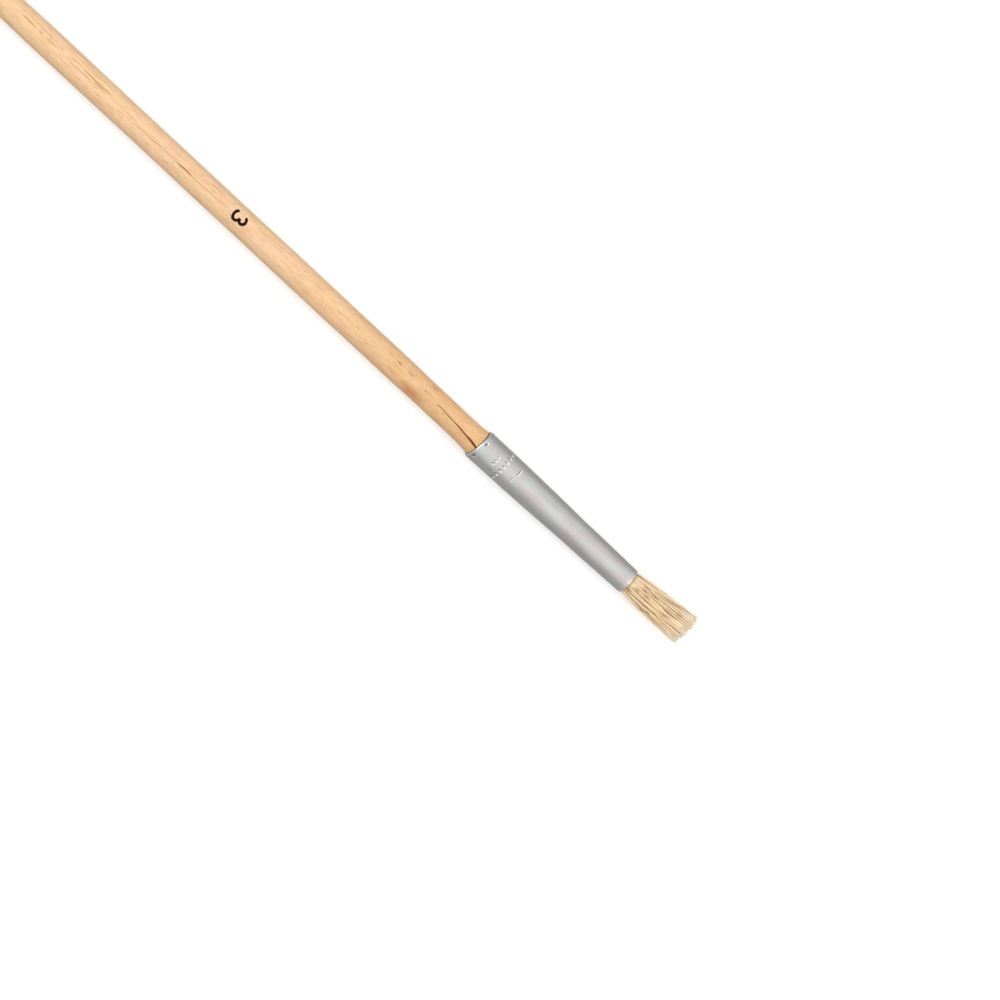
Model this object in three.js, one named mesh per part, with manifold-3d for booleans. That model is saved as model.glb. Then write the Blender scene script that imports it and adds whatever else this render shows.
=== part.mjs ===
// Round stencil brush: a turned wooden handle, held by crimps in a tapered aluminium ferrule that grips
// a round tuft of hog bristle, bound with thread and set in glue.
// Millimetres, +Z up. The brush lies along X, its bristles towards +X and its lowest flat on z = 0.
import * as THREE from "three";
import { mergeVertices } from "three/addons/utils/BufferGeometryUtils.js";
import Module from "manifold-3d";

// Lengths along the brush. A station is a distance from the butt of the handle.
const LENGTH = 230;
const FERRULE_LENGTH = 43;
const BRISTLE_LENGTH = 16;
const MOUTH = LENGTH - BRISTLE_LENGTH;
const RIM = MOUTH - FERRULE_LENGTH;

// Round pieces have this many flats, one of them facing straight down.
const SIDES = 24;
const HALF_FLAT = Math.PI / SIDES;
const FIT_GAP = 0.05;

// Ferrule: [distance from the rim, outside radius], and the lip that is rolled in at the mouth.
const FERRULE_OUTSIDE = [
  [0, 3.56],
  [11, 3.47],
  [19, 3.31],
  [28, 3.07],
  [32, 3.04],
  [42.2, 2.84],
];
const WALL = 0.3;
const LIP_RADIUS = 2.7;

// Crimps: small dents punched round the ferrule, just inside its rim.
const CRIMPS = 6;
const CRIMP_FROM_RIM = 1;
const CRIMP_DEPTH = 0.15;
const CRIMP_SIZE = [0.4, 0.8, 0.4];
const FIRST_CRIMP_ANGLE = THREE.MathUtils.degToRad(16.5);

// Handle.
const HANDLE_RADIUS = 3;
const BUTT_RADIUS = 2.3;
const BUTT_FLAT_RADIUS = 1.5;
const TAIL_LENGTH = 46;
const NECK_RADIUS = 2.9;
const NECK_START = 150;
const NECK_EASE = 4.5;
const FLARE_LENGTH = 3;
const TENON_LENGTH = 18;
const TENON_CHAMFER = 0.5;

// Inside the ferrule: the bristle roots, their thread and the cup of glue round them.
const ROOT_LENGTH = 21;
const ROOT_RADIUS = 2.35;
const THREAD_FROM_ROOT = 3;
const THREAD_TURNS = 4;
const THREAD_RADIUS = 0.15;
const GLUE_GAP = 0.3;
const GLUE_RIM = 12;

// Tuft: a core inside rings of locks, from the middle out, all equally thick and widening to the tip.
const TIP_RADIUS = 3.4;
const RINGS = [
  { name: "inner_lock", locks: 6 },
  { name: "middle_lock", locks: 12 },
  { name: "outer_lock", locks: 18 },
];
const LOCK_GAP = 0.08;
const LOCK_START = 0.3;
const ARC_STEPS = 3;
const LOCKS = 1 + RINGS.reduce((sum, ring) => sum + ring.locks, 0);

const AXIS_HEIGHT = FERRULE_OUTSIDE[0][1] * Math.cos(HALF_FLAT);

const wood = new THREE.MeshStandardMaterial({ color: 0xe8be90, roughness: 0.65, metalness: 0 });
const aluminium = new THREE.MeshStandardMaterial({ color: 0xc4c6c4, roughness: 0.4, metalness: 1 });
const epoxy = new THREE.MeshStandardMaterial({ color: 0xc9a25c, roughness: 0.3, metalness: 0 });
const thread = new THREE.MeshStandardMaterial({ color: 0xe6e0d2, roughness: 0.9, metalness: 0 });
const bristle = new THREE.MeshStandardMaterial({ color: 0xe2c494, roughness: 0.55, metalness: 0 });

const wasm = await Module();
wasm.setup();

// A value on a line through [place, value] points.
function along(points, place) {
  const last = points.findIndex(([p]) => p >= place);
  if (last < 1) return last === 0 ? points[0][1] : points.at(-1)[1];
  const [from, to] = [points[last - 1], points[last]];
  return THREE.MathUtils.mapLinear(place, from[0], to[0], from[1], to[1]);
}

const ferruleOutside = (station) => along(FERRULE_OUTSIDE, station - RIM);
const ferruleBore = (station) => ferruleOutside(station) - WALL;

// The bore between two stations, less a gap all round, as [radius, station] points for a piece inside it.
function insideBore(from, to, gap = FIT_GAP) {
  const bends = FERRULE_OUTSIDE.map(([place]) => RIM + place).filter((s) => s > from && s < to);
  return [from, ...bends, to].map((s) => [ferruleBore(s) - gap, s]);
}

// A solid turned about the X axis from [radius, station] points, which start and end on the axis or close.
function turned(profile) {
  const points = profile.map(([radius, station]) => new THREE.Vector2(radius, station));
  const geometry = new THREE.LatheGeometry(points, SIDES, HALF_FLAT);
  return geometry.rotateZ(-Math.PI / 2);
}

function solidOf(geometry) {
  const bare = geometry.clone().deleteAttribute("normal").deleteAttribute("uv");
  const merged = mergeVertices(bare, 1e-4);
  return new wasm.Manifold(
    new wasm.Mesh({
      numProp: 3,
      vertProperties: merged.attributes.position.array,
      triVerts: new Uint32Array(merged.index.array),
    }),
  );
}

function geometryOf(solid) {
  const mesh = solid.getMesh();
  const geometry = new THREE.BufferGeometry();
  geometry.setAttribute("position", new THREE.BufferAttribute(mesh.vertProperties, 3));
  geometry.setIndex(new THREE.BufferAttribute(mesh.triVerts, 1));
  geometry.computeVertexNormals();
  return geometry;
}

// A dowel with a thinner tail and a rounded butt. Its neck flares to fill the ferrule's rim.
function handleGeometry() {
  const roundness = BUTT_RADIUS - BUTT_FLAT_RADIUS;
  const butt = [0, 1, 2, 3].map((i) => {
    const angle = (i / 3) * (Math.PI / 2);
    return [
      BUTT_FLAT_RADIUS + roundness * Math.sin(angle),
      roundness * (1 - Math.cos(angle)),
    ];
  });
  const rimRadius = ferruleBore(RIM) - FIT_GAP;
  const flare = [0, 1, 2, 3, 4].map((i) => {
    const share = i / 5;
    return [
      THREE.MathUtils.lerp(NECK_RADIUS, rimRadius, share * share),
      RIM - FLARE_LENGTH * (1 - share),
    ];
  });
  const tenonEnd = RIM + TENON_LENGTH;
  return turned([
    [0, 0],
    ...butt,
    [HANDLE_RADIUS, TAIL_LENGTH],
    [HANDLE_RADIUS, NECK_START],
    [NECK_RADIUS, NECK_START + NECK_EASE],
    ...flare,
    ...insideBore(RIM, tenonEnd - TENON_CHAMFER),
    [ferruleBore(tenonEnd) - FIT_GAP - TENON_CHAMFER, tenonEnd],
    [0, tenonEnd],
  ]);
}

// A seamless tapered tube with a lip rolled in at the mouth and a ring of crimps at the rim.
function ferruleGeometry() {
  const outside = FERRULE_OUTSIDE.map(([place, radius]) => [radius, RIM + place]);
  const inside = outside.map(([radius, station]) => [radius - WALL, station]).reverse();
  const tube = turned([
    ...outside,
    [LIP_RADIUS, MOUTH],
    [LIP_RADIUS - WALL, MOUTH],
    ...inside,
    outside[0],
  ]);
  const dented = crimpPunches().reduce((solid, punch) => solid.subtract(solidOf(punch)), solidOf(tube));
  return geometryOf(dented);
}

// The shapes that dent the ferrule, set evenly round it.
function crimpPunches() {
  const station = RIM + CRIMP_FROM_RIM;
  const [, , reach] = CRIMP_SIZE;
  const height = ferruleOutside(station) * Math.cos(HALF_FLAT) + reach - CRIMP_DEPTH;
  return Array.from({ length: CRIMPS }, (_, i) => {
    const punch = new THREE.SphereGeometry(1, 10, 8).scale(...CRIMP_SIZE).translate(station, 0, height);
    return punch.rotateX(-FIRST_CRIMP_ANGLE + (i * 2 * Math.PI) / CRIMPS);
  });
}

// The share of the tuft's radius that this many locks fill, counted from the middle out.
const radiusShare = (locks) => Math.sqrt(locks / LOCKS);

// The bristle roots inside the ferrule and the middle of the tuft, which goes on from them to the tip.
function coreGeometry() {
  const rootStart = MOUTH - ROOT_LENGTH;
  const threadMiddle = rootStart + THREAD_FROM_ROOT;
  const waist = THREAD_TURNS * THREAD_RADIUS + FIT_GAP;
  const waistRadius = ROOT_RADIUS - THREAD_RADIUS;
  const coreRadius = ROOT_RADIUS * radiusShare(1) - LOCK_GAP / 2;
  const tipRadius = TIP_RADIUS * radiusShare(1) - LOCK_GAP / 2;
  return turned([
    [0, rootStart],
    [ROOT_RADIUS, rootStart],
    [ROOT_RADIUS, threadMiddle - waist - THREAD_RADIUS],
    [waistRadius, threadMiddle - waist],
    [waistRadius, threadMiddle + waist],
    [ROOT_RADIUS, threadMiddle + waist + THREAD_RADIUS],
    [ROOT_RADIUS, MOUTH],
    [coreRadius, MOUTH],
    [tipRadius, LENGTH],
    [0, LENGTH],
  ]);
}

// Turns of thread pulled tight round the roots, side by side.
function threadGeometry() {
  const middle = MOUTH - ROOT_LENGTH + THREAD_FROM_ROOT;
  const start = middle - THREAD_TURNS * THREAD_RADIUS;
  const inner = ROOT_RADIUS - THREAD_RADIUS + FIT_GAP;
  const outer = inner + THREAD_RADIUS;
  const turns = Array.from({ length: THREAD_TURNS }, (_, i) => {
    const turnStart = start + i * 2 * THREAD_RADIUS;
    return [1, 2, 3].map((step) => {
      const angle = (step / 4) * Math.PI;
      return [
        outer + THREAD_RADIUS * Math.sin(angle),
        turnStart + THREAD_RADIUS * (1 - Math.cos(angle)),
      ];
    });
  });
  const end = start + THREAD_TURNS * 2 * THREAD_RADIUS;
  return turned([[inner, start], [outer, start], ...turns.flat(), [outer, end], [inner, end], [inner, start]]);
}

// A cup of set glue: a floor behind the roots and a wall round them, inside the ferrule.
function glueGeometry() {
  const start = RIM + TENON_LENGTH + GLUE_GAP;
  const rootStart = MOUTH - ROOT_LENGTH;
  const end = rootStart + GLUE_RIM;
  const cavity = ROOT_RADIUS + THREAD_RADIUS + 2 * FIT_GAP;
  return turned([
    [0, start],
    ...insideBore(start, end),
    [cavity, end],
    [cavity, rootStart - FIT_GAP],
    [0, rootStart - FIT_GAP],
  ]);
}

// One lock of a ring, upright over the axis: a slice of the ring at the mouth, widening to the tip.
function lockGeometry(locks, locksInside) {
  const inner = ROOT_RADIUS * radiusShare(locksInside) + LOCK_GAP / 2;
  const outer = ROOT_RADIUS * radiusShare(locksInside + locks) - LOCK_GAP / 2;
  const halfSlice = Math.PI / locks;
  const edge = (radius) => halfSlice - LOCK_GAP / 2 / radius;
  const up = Math.PI / 2;
  const slice = new THREE.Shape();
  slice.absarc(0, 0, outer, up - edge(outer), up + edge(outer), false);
  slice.absarc(0, 0, inner, up + edge(inner), up - edge(inner), true);
  slice.closePath();
  const depth = BRISTLE_LENGTH - LOCK_START;
  const geometry = new THREE.ExtrudeGeometry(slice, {
    depth,
    steps: 1,
    bevelEnabled: false,
    curveSegments: ARC_STEPS,
  });
  const place = geometry.getAttribute("position");
  const spread = TIP_RADIUS / ROOT_RADIUS - 1;
  for (let i = 0; i < place.count; i++) {
    const free = LOCK_START + place.getZ(i);
    const widening = 1 + (spread * free) / BRISTLE_LENGTH;
    place.setXYZ(i, MOUTH + free, place.getX(i) * widening, place.getY(i) * widening);
  }
  return geometry;
}

// The rings of locks, each lock turned to its own place about the axis of the brush.
function tuft() {
  const group = new THREE.Group();
  let locksInside = 1;
  for (const { name, locks } of RINGS) {
    const geometry = lockGeometry(locks, locksInside);
    for (let i = 0; i < locks; i++) {
      const lock = piece(`${name}_${String(i + 1).padStart(2, "0")}`, geometry, bristle);
      lock.rotation.x = ((i + 0.5) * 2 * Math.PI) / locks;
      group.add(lock);
    }
    locksInside += locks;
  }
  return group;
}

function piece(name, geometry, material) {
  const mesh = new THREE.Mesh(geometry, material);
  mesh.name = name;
  return mesh;
}

const brush = new THREE.Group();
brush.add(piece("handle", handleGeometry(), wood));
brush.add(piece("ferrule", ferruleGeometry(), aluminium));
brush.add(piece("glue_plug", glueGeometry(), epoxy));
brush.add(piece("root_thread", threadGeometry(), thread));
brush.add(piece("bristle_core", coreGeometry(), bristle));
brush.add(tuft());
brush.position.set(-LENGTH / 2, 0, AXIS_HEIGHT);

const part = new THREE.Group();
part.add(brush);

export default part;
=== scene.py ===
"""Looks of a round stencil brush: raw wood handle, satin aluminium ferrule and a tuft of hog bristle.

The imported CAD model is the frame: the places of the pieces along the brush, and the outlines of the handle
and the ferrule, come from its nodes. Lengths are in metres.
"""
import math

import bpy
import numpy as np
from mathutils import Matrix, Vector


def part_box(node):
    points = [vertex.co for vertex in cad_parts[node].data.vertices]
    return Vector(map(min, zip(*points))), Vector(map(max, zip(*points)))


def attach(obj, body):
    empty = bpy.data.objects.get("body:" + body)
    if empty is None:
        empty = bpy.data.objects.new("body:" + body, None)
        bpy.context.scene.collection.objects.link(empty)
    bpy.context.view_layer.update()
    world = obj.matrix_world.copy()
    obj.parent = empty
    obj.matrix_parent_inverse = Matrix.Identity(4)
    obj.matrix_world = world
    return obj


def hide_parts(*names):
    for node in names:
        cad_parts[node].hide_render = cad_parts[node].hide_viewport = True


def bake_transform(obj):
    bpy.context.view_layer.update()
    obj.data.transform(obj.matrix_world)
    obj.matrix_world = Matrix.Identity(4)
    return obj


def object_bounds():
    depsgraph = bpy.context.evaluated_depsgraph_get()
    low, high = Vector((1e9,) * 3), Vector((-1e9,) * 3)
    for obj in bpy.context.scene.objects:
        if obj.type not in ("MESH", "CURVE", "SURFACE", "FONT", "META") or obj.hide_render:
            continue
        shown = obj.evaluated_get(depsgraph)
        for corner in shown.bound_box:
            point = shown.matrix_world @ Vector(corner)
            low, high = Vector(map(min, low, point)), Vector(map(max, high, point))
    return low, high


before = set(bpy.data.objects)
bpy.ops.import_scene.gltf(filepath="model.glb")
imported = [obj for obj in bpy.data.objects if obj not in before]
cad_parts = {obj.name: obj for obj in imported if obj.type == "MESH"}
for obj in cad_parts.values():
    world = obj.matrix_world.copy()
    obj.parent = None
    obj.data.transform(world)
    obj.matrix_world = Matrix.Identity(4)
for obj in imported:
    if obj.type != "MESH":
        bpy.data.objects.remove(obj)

CAD_LOW, CAD_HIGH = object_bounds()
MM = 0.001
SEED = 23
rng = np.random.default_rng(SEED)

# Places along the brush, which lies on X, and its axis.
HANDLE_LOW, HANDLE_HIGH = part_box("handle")
FERRULE_LOW, FERRULE_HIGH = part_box("ferrule")
ROOTS_LOW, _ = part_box("bristle_core")
THREAD_LOW, THREAD_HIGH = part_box("root_thread")
BUTT = HANDLE_LOW.x
RIM = FERRULE_LOW.x
MOUTH = FERRULE_HIGH.x
TIP = CAD_HIGH.x
AXIS_Z = (FERRULE_LOW.z + FERRULE_HIGH.z) / 2

BRUSH_BODY = "brush"
# The rings of locks round the core, and how many locks there are with the core counted as one.
RINGS = (("inner", 6), ("middle", 12), ("outer", 18))
LOCKS = 1 + sum(locks for _, locks in RINGS)
# The grid that places in the CAD model are rounded to, and the sides of its turned pieces.
CAD_GRID = 0.01 * MM
CAD_SIDES = 24
# How far the rim is out of square, and how far along the brush that shows.
RIM_SLANT, RIM_SLANT_REACH = 0.4 * MM, 4 * MM
# How far the ferrule is off the handle's axis at its ends, and the length of handle that follows it. The sway
# grows between these places, counted in half ferrules from the ferrule's middle.
SWAY, SWAY_FADE = 0.12 * MM, 7 * MM
SWAY_LIMITS = (-1, 1.2)


# ---------------------------------------------------------------- mesh helpers

def cad_rings(node, least=20):
    """The turned rings of a CAD node, as rows of (x, radius): circles of at least this many vertices."""
    points = np.array([v.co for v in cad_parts[node].data.vertices])
    radius = np.hypot(points[:, 1], points[:, 2] - AXIS_Z)
    places = np.round(np.stack([points[:, 0], radius], axis=1) / CAD_GRID).astype(int)
    angle = np.round(np.degrees(np.arctan2(points[:, 1], points[:, 2] - AXIS_Z))).astype(int)
    found = {}
    for place, turn in zip(map(tuple, places), angle):
        found.setdefault(place, set()).add(turn)
    kept = sorted(place for place, turns in found.items() if len(turns) >= least)
    return np.array(kept, float) * CAD_GRID


def outside_of(rings):
    """The widest ring at each x."""
    return np.array([(x, rings[rings[:, 0] == x, 1].max()) for x in np.unique(rings[:, 0])])


def inside_of(rings):
    """The narrowest ring at each x."""
    return np.array([(x, rings[rings[:, 0] == x, 1].min()) for x in np.unique(rings[:, 0])])


def softened(outline, step, blur):
    """An outline drawn again with points a step apart and its corners rounded over about the blur length."""
    outline = np.array(outline, float)
    lengths = np.hypot(*np.diff(outline, axis=0).T)
    along = np.concatenate([[0], np.cumsum(lengths)])
    places = np.linspace(0, along[-1], max(2, round(along[-1] / step) + 1))
    fine = np.stack([np.interp(places, along, outline[:, k]) for k in range(2)], axis=1)
    reach = max(1, round(blur / step))
    window = np.hanning(2 * reach + 3)[1:-1]
    window /= window.sum()
    padded = np.concatenate([
        2 * fine[0] - fine[reach:0:-1],
        fine,
        2 * fine[-1] - fine[-2:-reach - 2:-1],
    ])
    smooth = np.stack([np.convolve(padded[:, k], window, "valid") for k in range(2)], axis=1)
    smooth[0], smooth[-1] = fine[0], fine[-1]
    return smooth


def new_object(name, vertices, faces, smooth=True):
    """A mesh object in the scene, shaded smooth or flat."""
    mesh = bpy.data.meshes.new(name)
    mesh.from_pydata(vertices, [], faces)
    mesh.update()
    if smooth:
        mesh.shade_smooth()
    else:
        mesh.shade_flat()
    made = bpy.data.objects.new(name, mesh)
    bpy.context.scene.collection.objects.link(made)
    return made


def ring_faces(rows, around, closed_rows=False):
    """Quads of a grid whose rows each run round the brush. They face out where x grows from row to row."""
    row = np.arange(rows if closed_rows else rows - 1)[:, None]
    column = np.arange(around)[None, :]
    following = (row + 1) % rows
    beside = (column + 1) % around
    corners = [row * around + column, following * around + column]
    corners += [following * around + beside, row * around + beside]
    return np.stack([np.broadcast_to(c, (len(row), around)) for c in corners], axis=-1).reshape(-1, 4)


def set_attribute(piece, name, values):
    """Stores one number for each vertex, which a material can read."""
    layer = piece.data.attributes.new(name, "FLOAT", "POINT")
    layer.data.foreach_set("value", np.asarray(values, np.float32).ravel())


def sway(x):
    """How far the ferrule sits off the handle's axis along +Y: it was pressed on a little askew."""
    share = (x - (RIM + MOUTH) / 2) / ((MOUTH - RIM) / 2)
    return SWAY * np.clip(share, *SWAY_LIMITS) * np.clip(1 - (RIM - x) / SWAY_FADE, 0, 1)


def polar(x, angle, radius):
    """Points from places along and round the brush. Angle 0 is up and a quarter turn is towards +Y."""
    return np.stack([x, sway(x) + radius * np.sin(angle), AXIS_Z + radius * np.cos(angle)], axis=-1)


def bump_at(distance, width):
    """A smooth hump: 1 at no distance, falling to 0 at the width."""
    share = np.clip(np.abs(distance) / width, 0, 1)
    return (1 - share * share) ** 2


def rim_shift(x, angle):
    """How far the rim, and the wood in it, is moved along: least on the -Y side and most on the +Y side."""
    return RIM_SLANT * (1 + np.sin(angle)) * np.clip(1 - np.abs(x - RIM) / RIM_SLANT_REACH, 0, 1)


def turn_between(angle, other):
    """The signed turn from one angle to another, the short way round."""
    return (angle - other + math.pi) % (2 * math.pi) - math.pi


# ---------------------------------------------------------------- node helpers

class Nodes:
    """A material's or world's node tree, with short calls to add and link nodes."""

    def __init__(self, owner):
        """Empties the owner's node tree."""
        owner.use_nodes = True
        self.tree = owner.node_tree
        self.tree.nodes.clear()

    def add(self, kind, **values):
        """A new node with these settings."""
        node = self.tree.nodes.new(kind)
        for name, value in values.items():
            setattr(node, name, value)
        return node

    def link(self, source, target):
        """Joins an output to a socket."""
        self.tree.links.new(source, target)

    def feed(self, socket, value):
        """Links an output to a socket, or sets the socket's own value."""
        if isinstance(value, bpy.types.NodeSocket):
            self.link(value, socket)
        else:
            socket.default_value = value

    def maths(self, operation, *values):
        """The result of a Math node."""
        node = self.add("ShaderNodeMath", operation=operation)
        for socket, value in zip(node.inputs, values):
            self.feed(socket, value)
        return node.outputs[0]

    def stretched(self, sizes, offset=(0, 0, 0)):
        """Object coordinates counted in these sizes along X, Y and Z."""
        place = self.add("ShaderNodeTexCoord").outputs["Object"]
        mapping = self.add("ShaderNodeMapping")
        mapping.inputs["Scale"].default_value = [1 / s for s in sizes]
        mapping.inputs["Location"].default_value = offset
        self.link(place, mapping.inputs["Vector"])
        return mapping.outputs["Vector"]

    def noise(self, sizes, offset=(0, 0, 0), detail=2.0, roughness=0.5, distortion=0.0):
        """Noise with features of these sizes along X, Y and Z."""
        node = self.add("ShaderNodeTexNoise")
        self.link(self.stretched(sizes, offset), node.inputs["Vector"])
        node.inputs["Scale"].default_value = 1.0
        node.inputs["Detail"].default_value = detail
        node.inputs["Roughness"].default_value = roughness
        node.inputs["Distortion"].default_value = distortion
        return node.outputs["Fac"]

    def remap(self, value, low, high, to_low=0.0, to_high=1.0):
        """The value moved smoothly from the range low to high into the range to_low to to_high."""
        node = self.add("ShaderNodeMapRange", interpolation_type="SMOOTHSTEP")
        self.feed(node.inputs["Value"], value)
        limits = {"From Min": low, "From Max": high, "To Min": to_low, "To Max": to_high}
        for name, number in limits.items():
            node.inputs[name].default_value = number
        return node.outputs["Result"]

    def mixed(self, share, first, second):
        """The first colour with this share of the second mixed in."""
        node = self.add("ShaderNodeMix", data_type="RGBA")
        self.feed(node.inputs["Factor"], share)
        self.feed(node.inputs["A"], first)
        self.feed(node.inputs["B"], second)
        return node.outputs["Result"]

    def attribute(self, name):
        """A number that is stored for each vertex."""
        return self.add("ShaderNodeAttribute", attribute_name=name).outputs["Fac"]

    def bump(self, height, strength, distance, normal=None):
        """A normal tilted by this height, on top of another bump if one is given."""
        node = self.add("ShaderNodeBump")
        node.inputs["Strength"].default_value = strength
        node.inputs["Distance"].default_value = distance
        self.link(height, node.inputs["Height"])
        if normal is not None:
            self.link(normal, node.inputs["Normal"])
        return node.outputs["Normal"]

    def surface(self, **values):
        """The Principled shader, joined to the output, with its sockets set or linked by name."""
        shader = self.add("ShaderNodeBsdfPrincipled")
        output = self.add("ShaderNodeOutputMaterial")
        self.link(shader.outputs["BSDF"], output.inputs["Surface"])
        for name, value in values.items():
            self.feed(shader.inputs[name.replace("_", " ")], value)
        return shader


def colour(red, green, blue):
    """An opaque colour for a socket."""
    return (red, green, blue, 1.0)


def new_material(name):
    """A material and its empty node tree."""
    material = bpy.data.materials.new(name)
    return material, Nodes(material)


# ---------------------------------------------------------------- materials

# Where the wood turns honey coloured and where its flecks begin: distances from the ferrule's rim.
HONEY_FROM, HONEY_FULL = 60 * MM, 8 * MM
FLECKS_FROM, FLECKS_FULL = 42 * MM, 22 * MM


def flecked(n, base, along):
    """The wood's colour with short dark and pale flecks, which only show towards the ferrule."""
    flecks = n.noise((2.4 * MM, 0.3 * MM, 0.3 * MM), offset=(6, 2, 3), detail=2, roughness=0.6)
    strength = n.remap(along, RIM - FLECKS_FROM, RIM - FLECKS_FULL)
    dark = n.maths("MULTIPLY", n.remap(flecks, 0.50, 0.70, 0.0, 0.7), strength)
    pale = n.maths("MULTIPLY", n.remap(flecks, 0.48, 0.30, 0.0, 0.5), strength)
    base = n.mixed(dark, base, colour(0.60, 0.32, 0.14))
    return n.mixed(pale, base, colour(1.0, 0.72, 0.47))


def stained_and_marked(n, base, streaks, mark):
    """The wood's colour with the stain and the marks, which are brown where faint and black where strong."""
    stain = n.maths("MULTIPLY", n.attribute("stain"), n.remap(streaks, 0.3, 0.6, 0.6, 1.0))
    base = n.mixed(stain, base, colour(0.53, 0.22, 0.07))
    base = n.mixed(n.remap(mark, 0.0, 0.6, 0.0, 0.8), base, colour(0.42, 0.19, 0.07))
    return n.mixed(n.remap(mark, 0.5, 1.0), base, colour(0.15, 0.03, 0.004))


def wood_material():
    """Raw pale hardwood: soft figure, fibres, short dark pores in patches, streaks, marks and a stain."""
    material, n = new_material("raw_wood")
    figure = n.noise((13 * MM, 2.4 * MM, 2.4 * MM), detail=2)
    patches = n.noise((9 * MM, 2.2 * MM, 2.2 * MM), offset=(4, 0, 0), detail=1)
    streaks = n.noise((7 * MM, 0.55 * MM, 0.55 * MM), detail=3, roughness=0.6, distortion=0.25)
    fibres = n.noise((2.2 * MM, 0.2 * MM, 0.2 * MM), detail=2, roughness=0.6)
    pore_noise = n.noise((1.7 * MM, 0.17 * MM, 0.17 * MM), offset=(9, 5, 0), detail=1)
    pores = n.maths("MULTIPLY", n.remap(pore_noise, 0.62, 0.74), n.remap(patches, 0.40, 0.62, 0.15, 1.0))
    place = n.add("ShaderNodeSeparateXYZ")
    n.link(n.stretched((1, 1, 1)), place.inputs[0])
    along = place.outputs["X"]

    pink, straw = colour(0.915, 0.590, 0.362), colour(0.885, 0.592, 0.322)
    streak_brown, honey = colour(0.71, 0.43, 0.225), colour(0.74, 0.41, 0.165)
    fibre_brown, fibre_pale = colour(0.60, 0.34, 0.16), colour(0.93, 0.68, 0.46)
    pore_brown = colour(0.42, 0.19, 0.075)

    base = n.mixed(n.remap(figure, 0.35, 0.65), pink, straw)
    base = n.mixed(n.remap(streaks, 0.42, 0.80, 0.0, 0.85), base, streak_brown)
    base = n.mixed(n.remap(fibres, 0.48, 0.76, 0.0, 0.6), base, fibre_brown)
    base = n.mixed(n.remap(fibres, 0.50, 0.24, 0.0, 0.35), base, fibre_pale)
    base = flecked(n, base, along)
    near_ferrule = n.remap(along, RIM - HONEY_FROM, RIM - HONEY_FULL, 0.0, 0.85)
    base = n.mixed(near_ferrule, base, n.mixed(0.65, base, honey))
    base = n.mixed(n.maths("MULTIPLY", pores, 0.75), base, pore_brown)
    mark = n.attribute("mark")
    base = stained_and_marked(n, base, streaks, mark)

    roughness = n.maths("ADD", n.remap(fibres, 0.3, 0.7, 0.5, 0.66), n.maths("MULTIPLY", mark, 0.25))
    height = n.maths("SUBTRACT", n.maths("MULTIPLY", fibres, 0.5), pores)
    normal = n.bump(height, 0.35, 0.03 * MM)
    n.surface(Base_Color=base, Roughness=roughness, Normal=normal, Specular_IOR_Level=0.5)
    return material


def aluminium_material():
    """Satin aluminium: mottling, fine lines round the tube, scuffs, painted shade in the marks, and burnished
    edges with painted highlights.
    """
    material, n = new_material("satin_aluminium")
    lines = n.noise((0.07 * MM, 3 * MM, 3 * MM), detail=2, roughness=0.6)
    mottling = n.noise((5 * MM, 1.6 * MM, 1.6 * MM), detail=2)
    waves = n.noise((9 * MM, 1.1 * MM, 1.1 * MM), offset=(2, 8, 5), detail=1)
    grain = n.noise((0.14 * MM, 0.14 * MM, 0.14 * MM), detail=1)
    scuff_noise = n.noise((1.4 * MM, 0.15 * MM, 0.15 * MM), offset=(3, 1, 7), detail=1)
    scuffs = n.remap(scuff_noise, 0.68, 0.8)
    burnish_and_highlight = n.attribute("burnish_and_highlight")
    cool, warm = colour(0.597, 0.62, 0.59), colour(0.602, 0.553, 0.55)
    scuffed, burnish_highlight_colour, painted_shade = colour(0.40, 0.385, 0.37), colour(0.90, 0.90, 0.88), colour(0.13, 0.115, 0.10)
    base = n.mixed(n.remap(mottling, 0.35, 0.65), cool, warm)
    base = n.mixed(n.maths("MULTIPLY", scuffs, 0.3), base, scuffed)
    # Painted highlight, partly real burnish: lightens the edges and the far walls of the punched marks and
    # crimps.
    base = n.mixed(burnish_and_highlight, base, burnish_highlight_colour)
    # Painted shade in the crimps, the punched marks and the nicks, carried by the mark attribute.
    base = n.mixed(n.attribute("mark"), base, painted_shade)
    roughness = n.maths("ADD", n.remap(mottling, 0.3, 0.7, 0.38, 0.46), n.maths("MULTIPLY", grain, 0.06))
    roughness = n.maths("SUBTRACT", roughness, n.maths("MULTIPLY", burnish_and_highlight, 0.18))
    height = n.maths("ADD", n.maths("MULTIPLY", lines, 0.7), n.maths("MULTIPLY", grain, 0.5))
    normal = n.bump(height, 0.22, 0.012 * MM, normal=n.bump(waves, 0.5, 0.08 * MM))
    n.surface(Base_Color=base, Metallic=1.0, Roughness=roughness, Normal=normal)
    return material


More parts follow.
